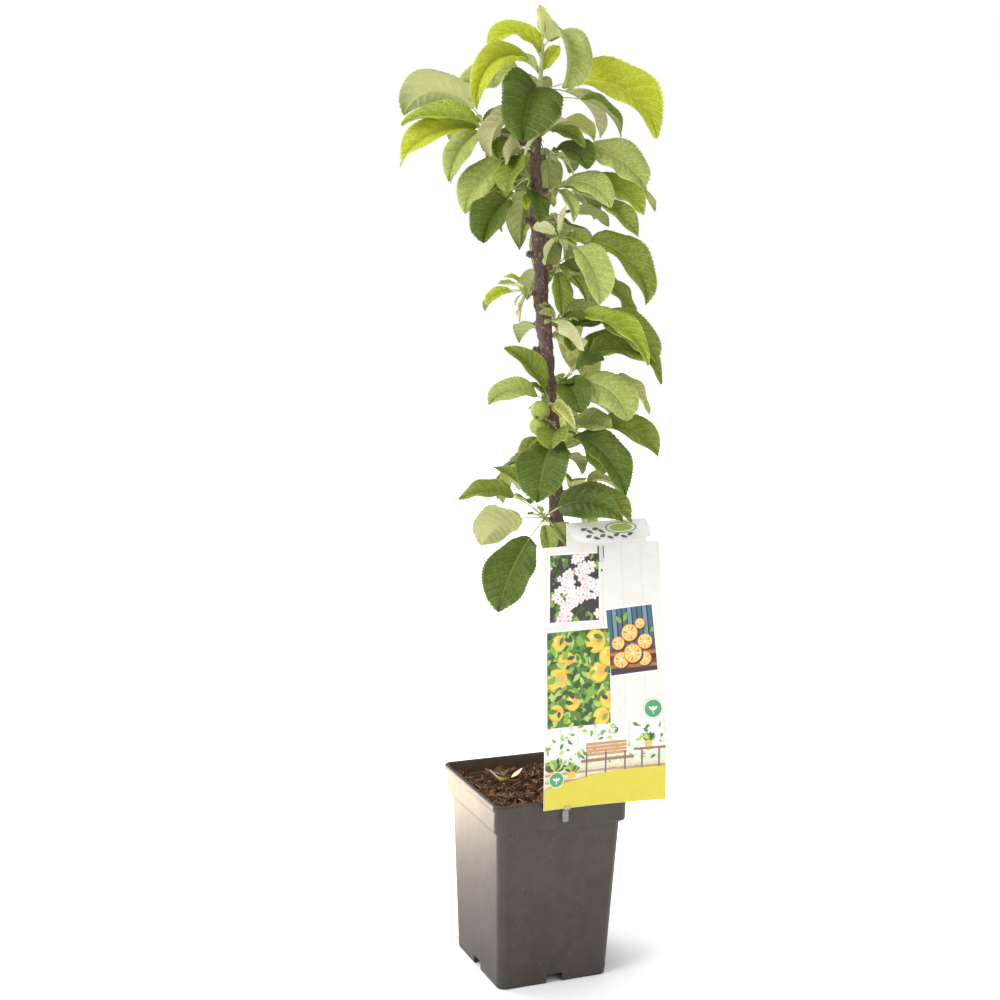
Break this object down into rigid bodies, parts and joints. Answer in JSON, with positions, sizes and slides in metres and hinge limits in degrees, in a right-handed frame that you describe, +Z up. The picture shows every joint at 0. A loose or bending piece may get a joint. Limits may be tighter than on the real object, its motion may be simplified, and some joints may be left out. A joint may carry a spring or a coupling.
{
  "type": "dwarf apple tree in a pot",
  "caption": "Young columnar apple tree with a slim leafy top, short fruiting spurs and small green fruit, in a square dark nursery pot with a printed picture label.",
  "frame": {"origin": "on the ground at the middle of the pot's foot", "axes": "+Z up along the trunk; the pot's sides run along X and Y, and the label card stands on the -Y side"},
  "size_m": [0.2674, 0.2213, 0.9741],
  "materials": {
    "pot": "satin dark taupe, lightly scuffed",
    "soil": "rough brown bark compost",
    "bark": "dark purplish brown bark with pale pores",
    "leaf": "soft green, paler and downy underneath",
    "card": "coated print",
    "strip": "clear"
  },
  "bodies": {
    "root": {"pot": "pot", "soil": "soil", "trunk": "bark", "left_bough": "bark", "spur_top_front": "bark", "spur_top_left": "bark", "spur_right_1": "bark", "spur_right_2": "bark", "spur_left_2": "bark", "spur_right_3": "bark", "spur_right_4": "bark", "spur_left_3": "bark", "spur_front_5": "bark", "spur_right_6": "bark", "spur_front_6": "bark", "spur_front_7": "bark", "spur_left_8": "bark", "spur_rear_1": "bark", "spur_rear_2": "bark", "spur_rear_3": "bark", "spur_rear_4": "bark", "spur_rear_5": "bark", "spur_rear_6": "bark", "spur_rear_7": "bark", "spur_rear_8": "bark", "foliage_leader": "leaf", "foliage_left_bough": "leaf", "foliage_top_front": "leaf", "foliage_top_left": "leaf", "foliage_right_1": "leaf", "foliage_right_2": "leaf", "foliage_left_2": "leaf", "foliage_right_3": "leaf", "foliage_right_4": "leaf", "foliage_left_3": "leaf", "foliage_front_5": "leaf", "foliage_right_6": "leaf", "foliage_front_6": "leaf", "foliage_front_7": "leaf", "foliage_left_8": "leaf", "foliage_rear_1": "leaf", "foliage_rear_2": "leaf", "foliage_rear_3": "leaf", "foliage_rear_4": "leaf", "foliage_rear_5": "leaf", "foliage_rear_6": "leaf", "foliage_rear_7": "leaf", "foliage_rear_8": "leaf", "label_card": "card", "label_holder": "strip"}
  },
  "joints": []
}
